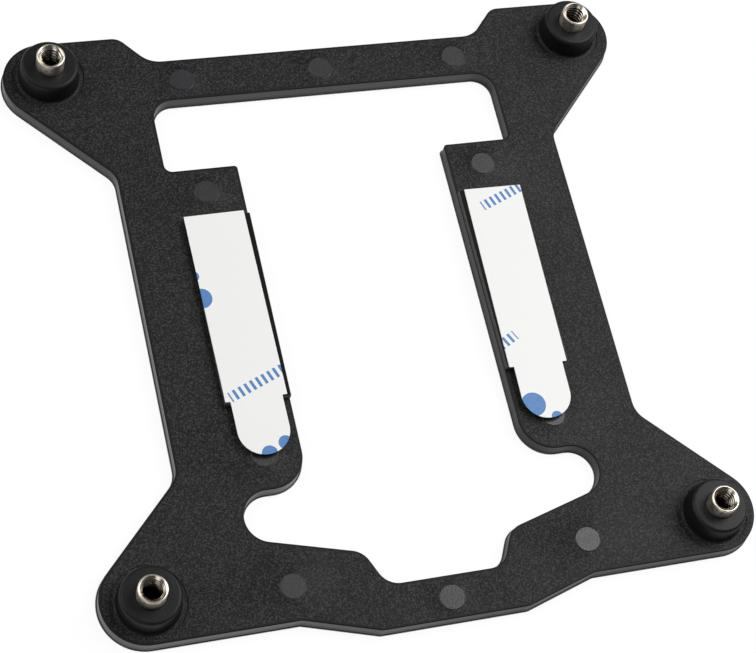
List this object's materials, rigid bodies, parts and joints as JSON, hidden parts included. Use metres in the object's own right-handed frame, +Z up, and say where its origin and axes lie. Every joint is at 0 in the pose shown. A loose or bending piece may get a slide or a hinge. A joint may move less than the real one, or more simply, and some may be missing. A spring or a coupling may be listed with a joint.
{
  "type": "cpu cooler backplate",
  "caption": "Moulded backplate for a processor cooler, with threaded sleeves at its corners and lined adhesive foam pads on its arms.",
  "frame": {"origin": "centre of the square of threaded sleeves, on the plane of the plate's underside", "axes": "+Z up to the mainboard, +Y along the arms to the wide rail, +X to the right across the arms"},
  "size_m": [0.0908, 0.0921, 0.0075],
  "materials": {
    "moulded_black_plastic": "fine spark-eroded texture on the flat faces",
    "nickel_plate": "bright nickel plate on turned metal",
    "black_foam": "matt closed-cell foam",
    "white_liner_paper": "smooth coated paper"
  },
  "bodies": {
    "root": {"frame": "moulded_black_plastic", "threaded_sleeve_upper_left": "nickel_plate", "threaded_sleeve_upper_right": "nickel_plate", "threaded_sleeve_lower_left": "nickel_plate", "threaded_sleeve_lower_right": "nickel_plate", "foam_pad_left": "black_foam", "foam_pad_right": "black_foam", "release_liner_left": "white_liner_paper", "release_liner_right": "white_liner_paper"}
  },
  "joints": []
}
